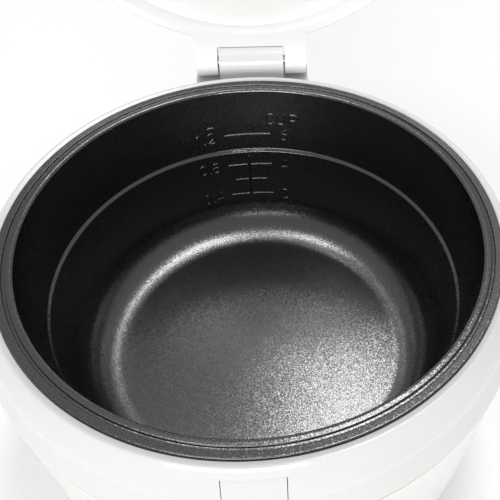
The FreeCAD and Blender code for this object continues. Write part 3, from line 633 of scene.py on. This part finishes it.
outside = shoulder((103.6, rim - 0.8), (crease, crease_z), SHOULDER_ROUND)
section = rounded([(SEAT_R, rim - SEAT_DROP), (99.9, rim - SEAT_DROP, 0.2), (100, rim - 0.5, 0.2),
                   (lip, rim + 0.2, 0.5), (102.6, rim + 0.3, 0.5), (103.4, rim - 0.7, 0.8)]
                  + outside[1:-1]
                  + [(crease, crease_z, 1.6), (band, rim - 27, 0.8),
                     (band - 0.5, rim - BAND_DROP, 0.3), (SPIGOT_R, rim - BAND_DROP),
                     (SPIGOT_R, rim - SPIGOT_DROP), (104.6, rim - SPIGOT_DROP), (104.6, rim - 26),
                     (106, crease_z), (101.9, rim - 5), (SEAT_R, rim - 5)])
collar = turned("top_collar_moulded", section, gloss_abs, 384)


def box_object(name, low, high):
    """A plain block in millimetres, used only to cut other pieces."""
    corners = [(x, y, z) for x in (low[0], high[0]) for y in (low[1], high[1])
               for z in (low[2], high[2])]
    sides = [(0, 1, 3, 2), (4, 6, 7, 5), (0, 4, 5, 1), (2, 3, 7, 6), (0, 2, 6, 4), (1, 5, 7, 3)]
    return mesh_object(name, corners, sides, gloss_abs, False)


def cut_away(piece, cutter):
    """Cut one closed mesh from another for good."""
    cutting = piece.modifiers.new("cut", "BOOLEAN")
    cutting.object, cutting.solver = cutter, "EXACT"
    graph = bpy.context.evaluated_depsgraph_get()
    mesh = bpy.data.meshes.new_from_object(piece.evaluated_get(graph))
    piece.modifiers.clear()
    piece.data = mesh
    bpy.data.objects.remove(cutter)
    mesh.set_sharp_from_angle(angle=math.radians(40))


BUTTON_HALF, BUTTON_GAP = 10.2, 0.25
cut_away(collar, box_object("button_opening", (-BUTTON_HALF - BUTTON_GAP, -band - 3, rim - 26.6),
                            (BUTTON_HALF + BUTTON_GAP, -101.4, rim - 3.2)))
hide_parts("top_collar")
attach(collar, "housing")

# ---------------------------------------------------------------- release button
# The button is a separate moulding that carries on the collar's shape, with a dished thumb rest
# over the catch.  Its edges are rounded by about half a millimetre.
eased("release_button_moulded", "release_button", 0.5, gloss_abs, "release_button")

# ---------------------------------------------------------------- hinge housing
# A block on the back of the body, screwed on from inside, whose barrel stands between the lid's
# two arms.  White ABS again, with moulded roundings.
eased("hinge_housing_moulded", "hinge_housing", 0.8, body_abs, "housing")

# ---------------------------------------------------------------- lid
# The lid is a white tray with a bevelled rim and two hinge arms, closed at the back by a domed
# cover on four screws.  The steam duct and its cap are set into the cover.
# The lid's white is painted lighter than the collar's and body's: painted light on the same resin.
lid_abs = white_plastic("polished_abs_painted_lighter", 0.2, 0.006, GLOSS_PEEL_MM, LID_PAINTED_LIGHTER_FLOW, LID_PAINTED_LIGHTER)
eased("lid_frame_moulded", "lid_frame", 0.6, lid_abs, "lid")
give(lid_abs, "lid_cover", "vent_duct")
eased("vent_cap_moulded", "vent_cap", 0.5, grey_abs, "vent_cap")

# The inner lid is a disc of spun aluminium with a soft lip of silicone round it, held by a knob.
give(rolled, "inner_lid")
SILICONE, SILICONE_DEEP = "#DDDCD6", "#CFCEC7"
silicone, shader, place = new_surface("translucent_silicone", {
    "Roughness": 0.45, "IOR": 1.41, "Subsurface Weight": 0.3, "Subsurface Scale": 0.002})
bloom = add_node(silicone, "TexNoise", {}, {"Scale": 1 / 4, "Detail": 3},
                 {"Vector": (place, "Vector")})
join(silicone, colour_ramp(silicone, bloom, "Fac", [(0.3, SILICONE_DEEP), (0.7, SILICONE)]),
     "Color", shader, "Base Color")
give(silicone, "lid_gasket")
eased("inner_lid_knob_moulded", "inner_lid_knob", 0.5, grey_abs, "inner_lid")

# ---------------------------------------------------------------- floor and light
# A sheet of white paper under the cooker, in an evenly lit pale room, with two soft boxes side by
# side over the pot and a third far in front, a little to the left.
paper, shader, place = new_surface("matt_white_paper", {"Roughness": 0.9})
fibre = add_node(paper, "TexNoise", {}, {"Scale": 1 / 3, "Detail": 3},
                 {"Vector": (place, "Vector")})
join(paper, colour_ramp(paper, fibre, "Fac", [(0.3, "#FAFAF9"), (0.7, "#FEFEFD")]), "Color", shader,
     "Base Color")
PAPER_HALF = 3000
ground = mesh_object("floor", [(-PAPER_HALF, -PAPER_HALF, 0), (PAPER_HALF, -PAPER_HALF, 0),
                               (PAPER_HALF, PAPER_HALF, 0), (-PAPER_HALF, PAPER_HALF, 0)],
                     [(0, 1, 2, 3)], paper, False)

world = bpy.data.worlds.new("studio")
world.use_nodes = True
world.node_tree.nodes["Background"].inputs["Color"].default_value = linear("#FFFFFF")
world.node_tree.nodes["Background"].inputs["Strength"].default_value = 0.48
bpy.context.scene.world = world


def soft_box(name, place, aim, wide, deep, watts):
    """A rectangular studio light pointed at a place."""
    light = bpy.data.lights.new(name, "AREA")
    light.shape, light.size, light.size_y, light.energy = "RECTANGLE", wide, deep, watts
    lamp = bpy.data.objects.new(name, light)
    lamp.location = place
    lamp.rotation_euler = (Vector(aim) - Vector(place)).to_track_quat("-Z", "Y").to_euler()
    bpy.context.scene.collection.objects.link(lamp)


soft_box("soft_box_right", (0.2, 0.36, 1.35), (0.2, 0.36, 0), 0.28, 0.83, 7)
soft_box("soft_box_left", (-0.28, 0.1, 1.35), (-0.28, 0.1, 0), 0.2, 0.42, 2.5)
soft_box("soft_box_front", (-0.3, -2.2, 0.7), (0, 0, 0.15), 1.6, 0.8, 37)
